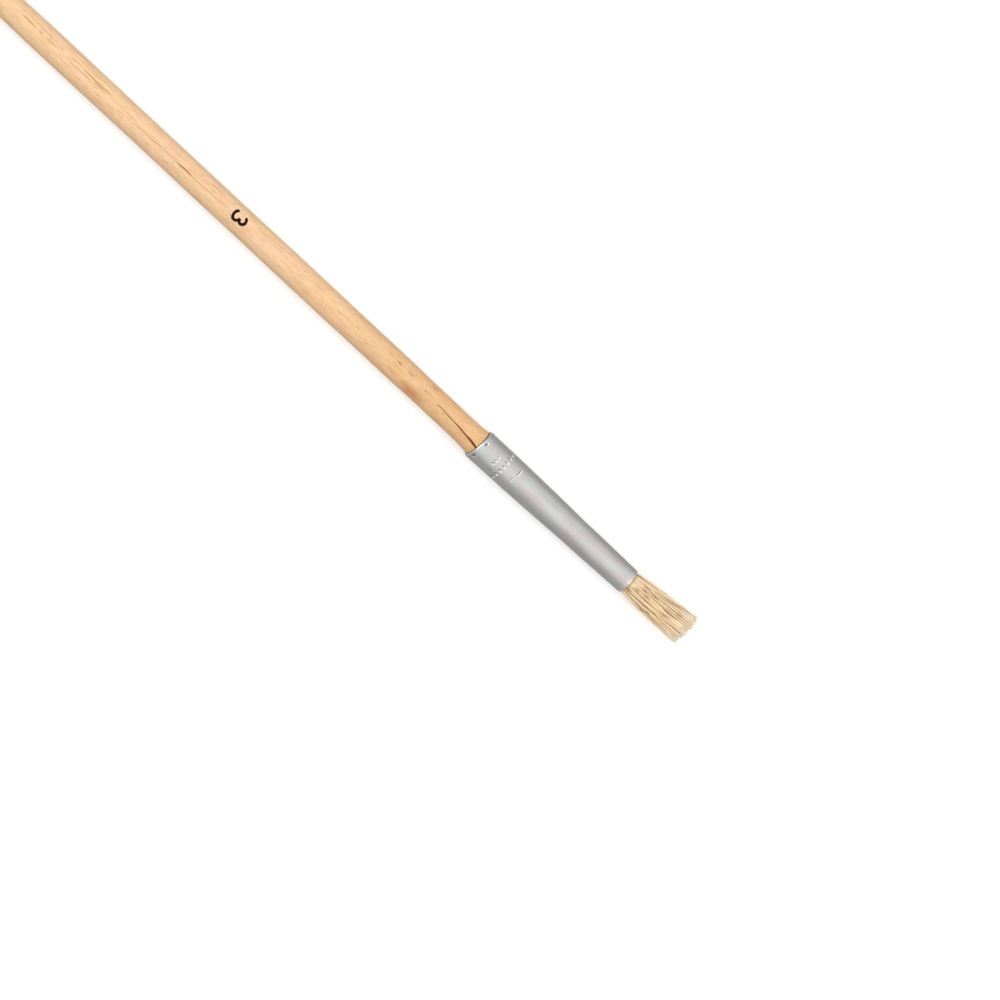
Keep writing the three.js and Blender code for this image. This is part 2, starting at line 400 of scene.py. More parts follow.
def bristle_material():
    """Hog bristle: each has a tone of its own with painted shade inside the bundle and under its neighbours,
    painted shade at the mouth, and a paler split tip that is partly painted light.
    """
    material, n = new_material("hog_bristle")
    tone = n.attribute("tone")
    free = n.attribute("free")
    mottling = n.noise((1.2 * MM, 0.1 * MM, 0.1 * MM), detail=1)
    dark, light, mottled = colour(0.27, 0.125, 0.04), colour(1.0, 0.83, 0.55), colour(0.55, 0.32, 0.13)
    pale_lit_tip, painted_mouth_shade = colour(0.98, 0.89, 0.72), colour(0.25, 0.13, 0.05)
    base = n.mixed(tone, dark, light)
    base = n.mixed(n.remap(mottling, 0.4, 0.75, 0.0, 0.3), base, mottled)
    # Paler towards the tip: the split ends are paler, and partly painted light that the thin tips let
    # through.
    base = n.mixed(n.remap(free, 0.6, 1.0, 0.0, 0.6), base, pale_lit_tip)
    # Painted shade on the bristles just past the mouth.
    base = n.mixed(n.remap(free, 0.05, 0.0, 0.0, 0.6), base, painted_mouth_shade)
    normal = n.bump(mottling, 0.2, 0.01 * MM)
    shader = n.surface(Base_Color=base, Roughness=0.42, Normal=normal, Specular_IOR_Level=0.5)
    # Stands for light that goes through the bristles, which the few bounces of a render leave out.
    shader.inputs["Emission Color"].default_value = colour(1.0, 0.80, 0.54)
    shader.inputs["Emission Strength"].default_value = 0.115
    return material


def ink_material():
    """Black printing ink, worn a little."""
    material, n = new_material("printed_ink")
    wear = n.noise((0.5 * MM, 0.12 * MM, 0.12 * MM), detail=2)
    base = n.mixed(n.remap(wear, 0.5, 0.8), colour(0.008, 0.005, 0.004), colour(0.05, 0.03, 0.022))
    n.surface(Base_Color=base, Roughness=n.remap(wear, 0.3, 0.7, 0.6, 0.8), Specular_IOR_Level=0.1)
    return material


def glue_material():
    """Cloudy amber epoxy."""
    material, n = new_material("set_glue")
    cloud = n.noise((1.5 * MM, 1.5 * MM, 1.5 * MM), detail=3)
    base = n.mixed(n.remap(cloud, 0.3, 0.7), colour(0.52, 0.33, 0.11), colour(0.66, 0.46, 0.2))
    roughness = n.remap(cloud, 0.3, 0.7, 0.18, 0.34)
    n.surface(Base_Color=base, Roughness=roughness, Normal=n.bump(cloud, 0.3, 0.1 * MM))
    return material


def thread_material():
    """Pale waxed thread with a twist."""
    material, n = new_material("waxed_thread")
    twist = n.noise((0.08 * MM, 0.3 * MM, 0.3 * MM), detail=2)
    base = n.mixed(n.remap(twist, 0.3, 0.7), colour(0.70, 0.65, 0.54), colour(0.86, 0.83, 0.75))
    roughness = n.remap(twist, 0.3, 0.7, 0.6, 0.8)
    n.surface(Base_Color=base, Roughness=roughness, Normal=n.bump(twist, 0.5, 0.05 * MM))
    return material


def floor_material():
    """A plain pale floor, lifted to near white by a little light of its own."""
    material, n = new_material("pale_floor")
    grain = n.noise((0.4, 0.4, 0.4), detail=1)
    base = n.mixed(grain, colour(0.95, 0.95, 0.95), colour(0.93, 0.93, 0.935))
    n.surface(Base_Color=base, Roughness=0.9, Emission_Color=colour(1, 1, 1), Emission_Strength=0.2)
    return material


# ---------------------------------------------------------------- handle

HANDLE_AROUND = 210
HANDLE_RADIUS = 3 * MM
# The length of a row of faces along the handle, and within FINE_LENGTH of the ferrule's rim.
HANDLE_STEP, RIM_STEP = 0.44 * MM, 0.11 * MM
FINE_LENGTH = 1.5 * MM
# The outline starts and ends on a small flat of this radius.
END_FLAT = 0.05 * MM
CORNER_ROUND, TENON_ROUND = 0.6 * MM, 0.1 * MM
# Shares of the handle's radius that its surface is off by, and the lengths of the waves that do it.
SLOW_WAVES = ((0.007, 83 * MM, 1.1), (0.005, 31 * MM, 0.0))
OVAL, OVAL_TURN = 0.006, 160 * MM
RIDGES, RIDGE_DEPTH, RIDGE_SWAY = 9, 0.002, 60 * MM
# Marks of the grain on the upper side: where each starts and ends, as the distance from the rim in mm and the
# angle from the top in degrees, then its width in mm and how dark it is.
GRAIN_MARKS = (
    ((11.6, 1), (5.2, -7), 0.24, 0.85),
    ((6.2, -5.5), (2.5, -13), 0.36, 0.95),
    ((3.3, -11.3), (-0.6, -19), 0.52, 1.0),
    ((97, -1), (83, 0.5), 0.20, 0.45),
    ((85, 0), (81.4, 1), 0.28, 0.75),
    ((84.3, -3), (70, 4), 0.22, 0.45),
    ((76.7, 35), (74, 33), 0.22, 0.50),
    ((128.6, 12), (125.1, 10), 0.24, 0.60),
    ((124, 9), (123.4, 9), 0.26, 0.55),
    ((122.3, 8), (119.2, 8), 0.22, 0.45),
    ((115.5, 20.5), (113, 21), 0.22, 0.50),
    ((115, 1), (109.7, 5), 0.22, 0.45),
    ((111.9, 17), (104.5, 16), 0.26, 0.60),
    ((108.5, 7.5), (105.7, 6), 0.22, 0.50),
    ((102, 7.5), (96.5, 7.5), 0.20, 0.35),
    ((23.8, 21), (22.9, 19), 0.28, 0.75),
    ((20.8, 17), (19.3, 14), 0.26, 0.60),
    ((15, 50), (13.4, 45), 0.28, 0.65),
    ((15.6, 8), (15.1, 8), 0.30, 0.65),
)
MARK_EDGE, MARK_FADE = 0.1 * MM, 0.4 * MM
MARK_WANDER, WANDER_LENGTH = math.radians(0.8), 0.9 * MM
GROOVE, CRACK = 0.09 * MM, 0.14 * MM
STAIN_FROM_RIM, STAIN_ANGLE = 17.3 * MM, math.radians(-38)
STAIN_LENGTH, STAIN_WIDTH, STAIN_STRENGTH = 4.5 * MM, 1.9 * MM, 0.85
# The dark line where the wood goes into the ferrule.
RIM_LINE, RIM_LINE_STRENGTH = 0.12 * MM, 0.95


def handle_outline():
    """The handle's outline from the CAD rings, with round corners, from the butt to the end of the tenon."""
    rings = outside_of(cad_rings("handle"))
    visible = np.concatenate([[(BUTT, END_FLAT)], rings[rings[:, 0] <= RIM + CAD_GRID]])
    tenon = rings[rings[:, 0] >= RIM - CAD_GRID]
    fine = softened(visible, RIM_STEP, CORNER_ROUND)
    every = round(HANDLE_STEP / RIM_STEP)
    near = fine[:, 0] > RIM - FINE_LENGTH
    return np.concatenate([
        fine[~near][::every],
        fine[near],
        softened(tenon, 0.3 * MM, TENON_ROUND)[1:4],
        softened(tenon, 3 * MM, TENON_ROUND)[1:],
        [(HANDLE_HIGH.x, END_FLAT)],
    ])


def wobble(x, angle):
    """How far the turned and sanded surface is from true, as a share of the handle's radius."""
    slow = sum(size * np.sin(2 * math.pi * x / length + start) for size, length, start in SLOW_WAVES)
    oval = OVAL * np.cos(2 * angle + 2 * math.pi * x / OVAL_TURN)
    ridges = RIDGE_DEPTH * np.sin(RIDGES * angle + 3 * np.sin(2 * math.pi * x / RIDGE_SWAY))
    fade = np.clip((RIM - x) / (6 * MM), 0, 1) * np.clip((x - BUTT) / (3 * MM), 0, 1)
    return (slow + oval + ridges) * fade


def line_mark(x, angle, start, end, width):
    """How much each point of the handle lies on a line drawn on its surface."""
    x_start, x_end = RIM - start[0] * MM, RIM - end[0] * MM
    share = np.clip((x - x_start) / (x_end - x_start), 0, 1)
    middle = np.radians(start[1] + (end[1] - start[1]) * share)
    wander = MARK_WANDER * np.sin((x - x_start) / WANDER_LENGTH)
    across = np.abs(turn_between(angle, middle + wander)) * HANDLE_RADIUS
    past = np.maximum(0, np.abs(x - (x_start + x_end) / 2) - (x_end - x_start) / 2)
    taper = 0.55 + 0.45 * np.sin(math.pi * np.clip(share, 0.06, 0.94))
    half = width * MM * taper / 2
    return np.clip((half + MARK_EDGE / 2 - across) / MARK_EDGE, 0, 1) * bump_at(past, MARK_FADE)


def make_handle(material):
    """The wooden handle with its marks cut in and a stain. Returns its outline."""
    outline = handle_outline()
    rows = len(outline)
    turns = np.arange(HANDLE_AROUND) * 2 * math.pi / HANDLE_AROUND
    x, angle = np.broadcast_arrays(outline[:, :1], turns)
    mark = np.zeros_like(x)
    for start, end, width, strength in GRAIN_MARKS:
        mark = np.maximum(mark, strength * line_mark(x, angle, start, end, width))
    groove = (GROOVE * mark + CRACK * mark ** 4) * (x < RIM)
    shaped = outline[:, 1:] * (1 + wobble(x, angle)) - groove
    points = polar(x + rim_shift(x, angle), angle, shaped).reshape(-1, 3)
    faces = ring_faces(rows, HANDLE_AROUND).tolist()
    faces.append(list(range(HANDLE_AROUND)))
    faces.append(list(range((rows - 1) * HANDLE_AROUND, rows * HANDLE_AROUND))[::-1])
    piece = new_object("wood_handle", points.tolist(), faces)
    gap = (0.05 + 0.12 * np.sin(angle + math.radians(20)) ** 2) * MM
    rim_line = np.clip((x - RIM + gap) / RIM_LINE + 1, 0, 1) * RIM_LINE_STRENGTH
    set_attribute(piece, "mark", np.maximum(mark, rim_line))
    stain = bump_at(x - (RIM - STAIN_FROM_RIM), STAIN_LENGTH)
    stain = stain * bump_at(turn_between(angle, STAIN_ANGLE) * HANDLE_RADIUS, STAIN_WIDTH)
    set_attribute(piece, "stain", stain * STAIN_STRENGTH)
    piece.data.materials.append(material)
    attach(piece, BRUSH_BODY)
    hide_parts("handle")
    return outline


# ---------------------------------------------------------------- size number

NUMBER_FROM_RIM = 67.9 * MM
NUMBER_ANGLE = math.radians(6.5)
NUMBER_HEIGHT, NUMBER_WIDTH = 3.75 * MM, 2.6 * MM
STROKE = 0.64 * MM
INK_LIFT = 0.02 * MM
RAGGEDNESS = 0.06
# The two arcs of the 3, before it is fitted to its size: radius, stretch across, height of the middle, the
# angles of its ends and the number of points.
UPPER_ARC = (0.46, 0.95, 0.54, 2.6, -1.45, 22)
LOWER_ARC = (0.54, 1.0, -0.46, 1.45, -2.6, 26)
# The rows that round off each end of the stroke: how far out they are and their share of its width.
CAP_ROWS = ((0.5, math.sqrt(0.75)), (0.87, math.sqrt(1 - 0.87 ** 2)), (1.0, 0.12))


def arc(radius, stretch, height, start, end, count):
    """Points along one arc of the number."""
    turns = np.linspace(start, end, count)
    return [(radius * math.cos(turn) * stretch, height + radius * math.sin(turn)) for turn in turns]


def number_path():
    """The middle of the stroke of a plain 3: x to the right and y up, from its upper end to its lower."""
    points = np.array(arc(*UPPER_ARC) + arc(*LOWER_ARC))
    low, high = points.min(axis=0), points.max(axis=0)
    points[:, 0] -= (low[0] + high[0]) / 2
    room = np.array([NUMBER_WIDTH - STROKE, NUMBER_HEIGHT - STROKE])
    return points * room / (high - low)


def stroke_rows(path):
    """The rows across the stroke, as (middle, direction across, share of the full width)."""
    tangent = np.gradient(path, axis=0)
    tangent /= np.hypot(*tangent.T)[:, None]
    side = np.stack([-tangent[:, 1], tangent[:, 0]], axis=1)
    ragged = 1 + RAGGEDNESS * rng.standard_normal(len(path))
    half = STROKE / 2
    rows = [(path[0] - tangent[0] * half * reach, side[0], share) for reach, share in reversed(CAP_ROWS)]
    rows += list(zip(path, side, ragged))
    rows += [(path[-1] + tangent[-1] * half * reach, side[-1], share) for reach, share in CAP_ROWS]
    return rows


def skin_faces(count, wide):
    """Faces of a closed skin of two grids of points, the upper one first, joined round their edge."""
    below = count * wide
    faces = []
    for i in range(count - 1):
        for j in range(wide - 1):
            a, b = i * wide + j, (i + 1) * wide + j
            faces.append([a, a + 1, b + 1, b])
            faces.append([below + a, below + b, below + b + 1, below + a + 1])
    edge = [i * wide for i in range(count)]
    edge += [(count - 1) * wide + j for j in range(1, wide)]
    edge += [i * wide + wide - 1 for i in range(count - 2, -1, -1)]
    edge += list(range(wide - 2, 0, -1))
    for a, b in zip(edge, edge[1:] + edge[:1]):
        faces.append([a, b, below + b, below + a])
    return faces


def make_number(outline, material):
    """The printed number, a thin skin of ink that follows the handle's surface."""
    half_steps = np.linspace(-1, 1, 5) * STROKE / 2
    rows = stroke_rows(number_path())
    middle, across, share = (np.array(column) for column in zip(*rows))
    flat = middle[:, None] + across[:, None] * half_steps[:, None] * share[:, None, None]
    x = RIM - NUMBER_FROM_RIM + flat[..., 1]
    angle = NUMBER_ANGLE - flat[..., 0] / HANDLE_RADIUS
    radius = np.interp(x, outline[:, 0], outline[:, 1]) * (1 + wobble(x, angle))
    top = polar(x, angle, radius + INK_LIFT).reshape(-1, 3)
    bottom = polar(x, angle, radius - INK_LIFT).reshape(-1, 3)
    piece = new_object("size_number", np.concatenate([top, bottom]).tolist(), skin_faces(*x.shape))
    piece.data.materials.append(material)
    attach(piece, BRUSH_BODY)


# ---------------------------------------------------------------- ferrule

FERRULE_AROUND = 264
# The bevelled edge of the rim, from its inner side to the outside: mm along and mm out from the corner.
RIM_EDGE = np.array([(0, -0.30), (0.01, -0.18), (0.05, -0.14), (0.27, -0.01), (0.33, 0)])
# Where the rows of the tube start after the rim, where they turn coarse, and where they stop before the lip.
TUBE_FROM_RIM, COARSE_FROM_RIM, TUBE_TO_MOUTH = 0.34 * MM, 12.2 * MM, 1.2 * MM
TUBE_STEP, TUBE_ROUND, COARSE_EVERY = 0.09 * MM, 0.3 * MM, 4
LIP_ROUND, LIP_STEPS = 0.22 * MM, 7
BORE_STEP, BORE_ROUND, BORE_TO_MOUTH = 1.2 * MM, 0.1 * MM, 0.3 * MM
CRIMPS, FIRST_CRIMP = 6, math.radians(16.5)
CRIMP_FROM_RIM, CRIMP_LONG, CRIMP_WIDE, CRIMP_DEPTH = 0.95 * MM, 0.45 * MM, 0.78 * MM, 0.22 * MM
# Punched marks: distance from the rim in mm, angle in degrees, half length and half width in mm, depth in mm.
PUNCH_RING = (7.1, 20, 0.60, 0.32, 0.18)
PUNCH_MARKS = (
    (5.0, 12, 0.44, 0.30, 0.17),
    (5.0, -2, 0.44, 0.30, 0.17),
    (5.0, -16, 0.44, 0.30, 0.17),
    (10.0, -11, 0.26, 0.26, 0.13),
    (10.2, -17, 0.32, 0.30, 0.15),
    (10.4, 21, 0.22, 1.35, 0.15),
)
# Small dark nicks, given in the same way.
NICKS = (
    (15.6, -29, 0.26, 0.20, 0.10),
    (5.4, -42, 0.45, 0.22, 0.08),
)
# The tube isn't quite round: near the rim, over this length, and all along, with a slow turn.
RIM_RIPPLE, RIPPLE_LENGTH = 0.012 * MM, 5 * MM
TUBE_RIPPLE, RIPPLE_TURN = 0.010 * MM, 2.5 * MM
# How far the bright edges reach, and the depths that count in full for the painted shade in nicks and for the
# painted highlight in marks.
RIM_BRIGHT, LIP_BRIGHT = 0.3 * MM, 0.32 * MM
NICK_SHADE_DEPTH, PUNCH_BRIGHT_DEPTH = 0.08 * MM, 0.06 * MM


def lip_outline(radius):
    """A quarter round from the outside of the tube to its end at the mouth."""
    turns = np.linspace(math.pi / 2, 0, LIP_STEPS)
    x = MOUTH - LIP_ROUND + LIP_ROUND * np.cos(turns)
    return np.stack([x, radius - LIP_ROUND + LIP_ROUND * np.sin(turns)], axis=1)


def ferrule_outline():
    """The ferrule's section from the CAD rings: outside from rim to mouth, round the lip and back inside."""
    rings = cad_rings("ferrule")
    outside, inside = outside_of(rings), inside_of(rings)
    tube = softened(outside[:-1], TUBE_STEP, TUBE_ROUND)
    from_rim = tube[:, 0] - RIM
    fine = tube[(from_rim > TUBE_FROM_RIM) & (from_rim <= COARSE_FROM_RIM)]
    coarse = tube[(from_rim > COARSE_FROM_RIM) & (tube[:, 0] < MOUTH - TUBE_TO_MOUTH)][::COARSE_EVERY]
    rim = RIM_EDGE * MM + (RIM, outside[0, 1])
    lip = lip_outline(outside[-2, 1] - CAD_GRID)
    turned_in = [(MOUTH - 0.02 * MM, inside[-1, 1] + 0.12 * MM), (MOUTH - 0.10 * MM, inside[-1, 1])]
    back = softened(inside[::-1], BORE_STEP, BORE_ROUND)
    back = back[back[:, 0] < MOUTH - BORE_TO_MOUTH]
    return np.concatenate([rim, fine, coarse, lip, turned_in, back])


def punch(x, angle, radius, mark):
    """How deep a punched mark reaches at each point."""
    from_rim, degrees, half_long, half_wide, depth = mark
    along = (x - RIM - from_rim * MM) / (half_long * MM)
    across = turn_between(angle, math.radians(degrees)) * radius / (half_wide * MM)
    return depth * MM * bump_at(np.hypot(along, across), 1)


def pressed_in(x, turn, radius):
    """How deep the crimps, the punched marks and the nicks are at each point."""
    crimps = np.zeros_like(x)
    for i in range(CRIMPS):
        across = turn_between(turn, FIRST_CRIMP + i * 2 * math.pi / CRIMPS) * radius / CRIMP_WIDE
        crimps += CRIMP_DEPTH * bump_at(np.hypot((x - RIM - CRIMP_FROM_RIM) / CRIMP_LONG, across), 1)
    from_rim, count, *size = PUNCH_RING
    ring = [(from_rim, 360 * i / count, *size) for i in range(count)]
    punched = sum(punch(x, turn, radius, mark) for mark in (*ring, *PUNCH_MARKS))
    nicks = sum(punch(x, turn, radius, nick) for nick in NICKS)
    return crimps, punched, nicks


def make_ferrule(material):
    """The ferrule with crimps, punched marks and nicks in its outside, painted shade in them, and bright
    edges from burnish and painted highlights.
    """
    outline = ferrule_outline()
    rows = len(outline)
    turns = np.arange(FERRULE_AROUND) * 2 * math.pi / FERRULE_AROUND
    x, radius, turn = np.broadcast_arrays(outline[:, :1], outline[:, 1:], turns)
    on_outside = (np.arange(rows) <= np.argmax(outline[:, 0]))[:, None]
    crimps, punched, nicks = pressed_in(x, turn, radius)
    ripple = RIM_RIPPLE * np.sin(3 * turn + 1) * bump_at(x - RIM, RIPPLE_LENGTH)
    ripple += TUBE_RIPPLE * np.sin(5 * turn + x / RIPPLE_TURN)
    radius = radius - (crimps + punched + nicks) * on_outside + ripple
    points = polar(x + rim_shift(x, turn), turn, radius).reshape(-1, 3)
    faces = ring_faces(rows, FERRULE_AROUND, closed_rows=True).tolist()
    piece = new_object("aluminium_ferrule", points.tolist(), faces)
    # Painted shade: the crimps' hollows and the rim-side wall of each punched mark and crimp are darkened,
    # and the nicks more the deeper they go.
    slope = np.gradient(punched + 0.5 * crimps, axis=0) / np.gradient(outline[:, 0])[:, None]
    painted_shade = np.clip(crimps / CRIMP_DEPTH * 2.4 - 1.1, 0, 0.9)
    painted_shade = np.maximum(painted_shade, np.clip(slope * 3.2 - 0.3, 0, 0.75))
    painted_shade = np.maximum(painted_shade, np.clip(nicks / NICK_SHADE_DEPTH, 0, 0.6))
    set_attribute(piece, "mark", painted_shade * on_outside)
    # Partly real burnish, which lowers the roughness, and partly painted highlight: the rim's and lip's
    # rounded edges, the punched marks and the far wall of each punch and crimp are made lighter.
    edges = np.maximum(bump_at(x - RIM - 0.1 * MM, RIM_BRIGHT), bump_at(x - MOUTH, LIP_BRIGHT))
    bright = np.maximum(edges, np.clip(0.3 * punched / PUNCH_BRIGHT_DEPTH - 3 * slope, 0, 1))
    set_attribute(piece, "burnish_and_highlight", bright * on_outside)
    piece.data.materials.append(material)
    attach(piece, BRUSH_BODY)
    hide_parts("ferrule")


# ---------------------------------------------------------------- bristles

BRISTLES = 220
# The usual radius, the thinnest and thickest as shares of it, and the share that is lost by the tip.
BRISTLE_RADIUS, THINNEST, THICKEST, TIP_TAPER = 0.14 * MM, 0.82, 1.1, 0.25
SIDES, HAIR_SIDES, FREE_ROWS, HAIR_ROWS = 6, 4, 12, 5
# Each bristle splits into this many fine hairs, which start a little inside it, vary in length by these
# shares and spread by these distances in mm.
SPLITS, SPLIT_RADIUS, SPLIT_LENGTH = 3, 0.06 * MM, 1.3 * MM
SPLIT_LENGTHS, SPLIT_SPREAD, HAIR_START = (0.7, 1.05), (0.05, 0.22), 0.15 * MM
# The bundle's radius at the mouth and at the tip, and the swell just past the mouth.
MOUTH_RADIUS, TIP_RADIUS = 2.25 * MM, 3.38 * MM
SWELL, SWELL_LENGTH = 0.26 * MM, 0.6 * MM
# The thread squeezes the roots to this share of their radius, over this length, and a bristle has points this
# far before and after it.
THREAD_SQUEEZE, SQUEEZE_LENGTH = 0.93, 1.2 * MM
ROOT_INSET, BEFORE_THREAD, AFTER_THREAD = 0.05 * MM, 0.4 * MM, 0.5 * MM
# The tuft leans towards +Y, and its tip is wider across than it is high by this ratio.
LEAN = math.radians(2.3)
TIP_SQUASH = 1.06
# The bristles of a lock gather into clumps, from inside the ferrule on.
CLUMPS_PER_LOCK = 3
CLUMP_START, CLUMP_PULL, CLUMP_INSET = 2.5 * MM, 0.4, 0.98
# How far bristles and clumps wander: in a bow, in an S and outwards by the tip. A stray wanders further.
BRISTLE_BOW = np.array([0.08, 0.05, 0.12]) * MM
CLUMP_BOW = np.array([0.10, 0.07, 0.12]) * MM
STRAYS, STRAY_BOW = 0.1, 2.2
# Clumps reach this share of the way to the tip, with this spread. Their bristles have a spread of their own.
CLUMP_REACH, BRISTLE_REACH = (0.972, 0.011), 0.015
# Where a bristle dips under its neighbours it is in their shade: how often, over what share of its length,
# how dark, and between which shares of its length.
DIPS, DIP_REACH, DIP_SHADE, DIP_PLACE = 3, (0.03, 0.10), (0.3, 1.15), (0.02, 0.98)
# Tones go from 0, dark, to 1, light. The innermost bristles have this share of their tone as painted shade,
# and those beyond the outer share of the bundle's radius have all of it.
INNER_TONE, OUTER_SHARE = 0.42, 0.8
DARK_SHARE, DARK_TONES, LIGHT_TONES = 0.22, (0.0, 0.2), (0.8, 1.0)
HAIR_LIGHT, CLUMP_TONES, CLUMP_TONE_SHARE = (0.3, 1.0), (0.1, 1.0), 0.2


def lock_of(radius_share, angle):
    """The name of the lock that a bristle belongs to, from its place in the bundle, or None for the core."""
    place = radius_share ** 2 * LOCKS
    if place < 1:
        return None
    turn = (-angle / (2 * math.pi)) % 1
    filled = 1
    for ring, locks in RINGS:
        filled += locks
        if place < filled or ring == RINGS[-1][0]:
            return f"{ring}_lock_{int(turn * locks) + 1:02d}"


def bundle():
    """The place of each bristle in the bundle, as (share of the radius, angle), evenly packed."""
    golden = math.pi * (3 - math.sqrt(5))
    return [(math.sqrt((i + 0.5) / BRISTLES), (i * golden) % (2 * math.pi)) for i in range(BRISTLES)]


def tube(path, radii, sides):
    """A closed tube along a path, with flat ends: its vertices and its faces."""
    path, radii = np.asarray(path), np.asarray(radii)
    tangent = np.gradient(path, axis=0)
    tangent /= np.linalg.norm(tangent, axis=1)[:, None]
    first = np.cross(tangent, (0, 0, 1.0))
    first /= np.linalg.norm(first, axis=1)[:, None]
    second = np.cross(tangent, first)
    angle = np.arange(sides) * 2 * math.pi / sides
    out = first[:, None] * np.cos(angle)[None, :, None] + second[:, None] * np.sin(angle)[None, :, None]
    rings = path[:, None] + radii[:, None, None] * out
    rows = len(path)
    faces = ring_faces(rows, sides).tolist()
    faces.append(list(range(sides))[::-1])
    faces.append(list(range((rows - 1) * sides, rows * sides)))
    return rings.reshape(-1, 3), [f[::-1] for f in faces]


def bristle_path(share, angle, clump, reach, bow):
    """The middle of one bristle from root to split, and each point's share of the way from mouth to tip."""
    free_length = TIP - MOUTH
    inside = [ROOTS_LOW.x + ROOT_INSET, THREAD_LOW.x - BEFORE_THREAD, THREAD_LOW.x, THREAD_HIGH.x]
    inside += [THREAD_HIGH.x + AFTER_THREAD, (THREAD_HIGH.x + MOUTH) / 2]
    inside += [MOUTH - CLUMP_START, MOUTH - CLUMP_START / 2, MOUTH, MOUTH + SWELL_LENGTH * 0.6]
    end = MOUTH + free_length * reach - SPLIT_LENGTH * 0.8
    x = np.array(inside + list(np.linspace(MOUTH + SWELL_LENGTH * 1.4, end, FREE_ROWS)))
    out = np.maximum(0, x - MOUTH)
    part = np.clip(out / free_length, 0, 1)
    squeeze = 1 - (1 - THREAD_SQUEEZE) * bump_at(x - (THREAD_LOW.x + THREAD_HIGH.x) / 2, SQUEEZE_LENGTH)
    swell = SWELL * (1 - np.exp(-out / SWELL_LENGTH)) * (1 - part)
    spread = MOUTH_RADIUS + (TIP_RADIUS - MOUTH_RADIUS) * part + swell
    y = share * math.sin(angle) * spread * squeeze * (1 + (TIP_SQUASH - 1) * part)
    z = share * math.cos(angle) * spread * squeeze
    gathered = np.clip((x - MOUTH + CLUMP_START) / (free_length + CLUMP_START), 0, 1)
    pull = CLUMP_PULL * gathered ** 0.7
    y = y + (clump["y"] * spread - y) * pull
    z = z + (clump["z"] * spread - z) * pull
    wave = np.stack([np.sin(math.pi * part), np.sin(2 * math.pi * part), part ** 1.5])
    y = y + (clump["bow"][0] + bow[0]) @ wave + math.tan(LEAN) * free_length * part ** 1.1
    z = z + (clump["bow"][1] + bow[1]) @ wave
    return np.stack([x, y + sway(x), AXIS_Z + z], axis=1), part


def dips(part):
    """How light a bristle stays along its length, with short lengths shaded by its neighbours."""
    light = np.ones_like(part)
    for _ in range(DIPS):
        shade = rng.uniform(*DIP_SHADE)
        place = rng.uniform(*DIP_PLACE)
        light -= shade * bump_at(part - place, rng.uniform(*DIP_REACH))
    return np.clip(light, 0, 1)


def make_bristle(share, angle, clump, reach):
    """One bristle with its split tip: vertices, faces, and each vertex's share of the way and lightness."""
    stray = STRAY_BOW if rng.random() < STRAYS else 1.0
    bow = rng.standard_normal((2, 3)) * BRISTLE_BOW * stray
    path, part = bristle_path(share, angle, clump, reach, bow)
    radii = BRISTLE_RADIUS * (1 - TIP_TAPER * part) * rng.uniform(THINNEST, THICKEST)
    vertices, faces = tube(path, radii, SIDES)
    parts, light = np.repeat(part, SIDES), np.repeat(dips(part), SIDES)
    heading = path[-1] - path[-3]
    heading /= np.linalg.norm(heading)
    steps = np.linspace(0, 1, HAIR_ROWS)
    for i in range(SPLITS):
        turn = (i + rng.uniform(0, 0.8)) * 2 * math.pi / SPLITS
        away = np.array([0, math.cos(turn), math.sin(turn)])
        length = SPLIT_LENGTH * rng.uniform(*SPLIT_LENGTHS)
        start = path[-1] - heading * HAIR_START + away * SPLIT_RADIUS * 0.8
        spread = rng.uniform(*SPLIT_SPREAD) * MM
        hair = start + np.outer(steps, heading * length) + np.outer(steps ** 2, away * spread)
        hair_vertices, hair_faces = tube(hair, SPLIT_RADIUS * (1 - 0.5 * steps), HAIR_SIDES)
        faces += [[k + len(vertices) for k in face] for face in hair_faces]
        vertices = np.concatenate([vertices, hair_vertices])
        parts = np.concatenate([parts, np.repeat(0.9 + 0.1 * steps, HAIR_SIDES)])
        light = np.concatenate([light, np.full(len(hair_vertices), rng.uniform(*HAIR_LIGHT))])
    return vertices, faces, parts, light


def make_clumps(members):
    """The clumps that a lock's bristles gather into, spread as far apart as its own bristles are."""
    places = np.array([(share * math.sin(angle), share * math.cos(angle)) for share, angle in members])
    chosen = [int(rng.integers(len(places)))]
    while len(chosen) < min(CLUMPS_PER_LOCK, len(places)):
        apart = np.min([np.hypot(*(places - places[k]).T) for k in chosen], axis=0)
        chosen.append(int(np.argmax(apart)))
    clumps = []
    for k in chosen:
        clumps.append({
            "y": places[k, 0] * CLUMP_INSET,
            "z": places[k, 1] * CLUMP_INSET,
            "bow": rng.standard_normal((2, 3)) * CLUMP_BOW,
            "reach": rng.normal(*CLUMP_REACH),
            "tone": rng.uniform(*CLUMP_TONES),
        })
    return clumps


def bristle_tone(share, clump):
    """How light a bristle is: a few are dark, and those inside the bundle are in the shade of the others."""
    tone = rng.uniform(*DARK_TONES) if rng.random() < DARK_SHARE else rng.uniform(*LIGHT_TONES)
    tone *= 1 - CLUMP_TONE_SHARE + CLUMP_TONE_SHARE * clump["tone"]
    return tone * (INNER_TONE + (1 - INNER_TONE) * min(1, share / OUTER_SHARE) ** 3)


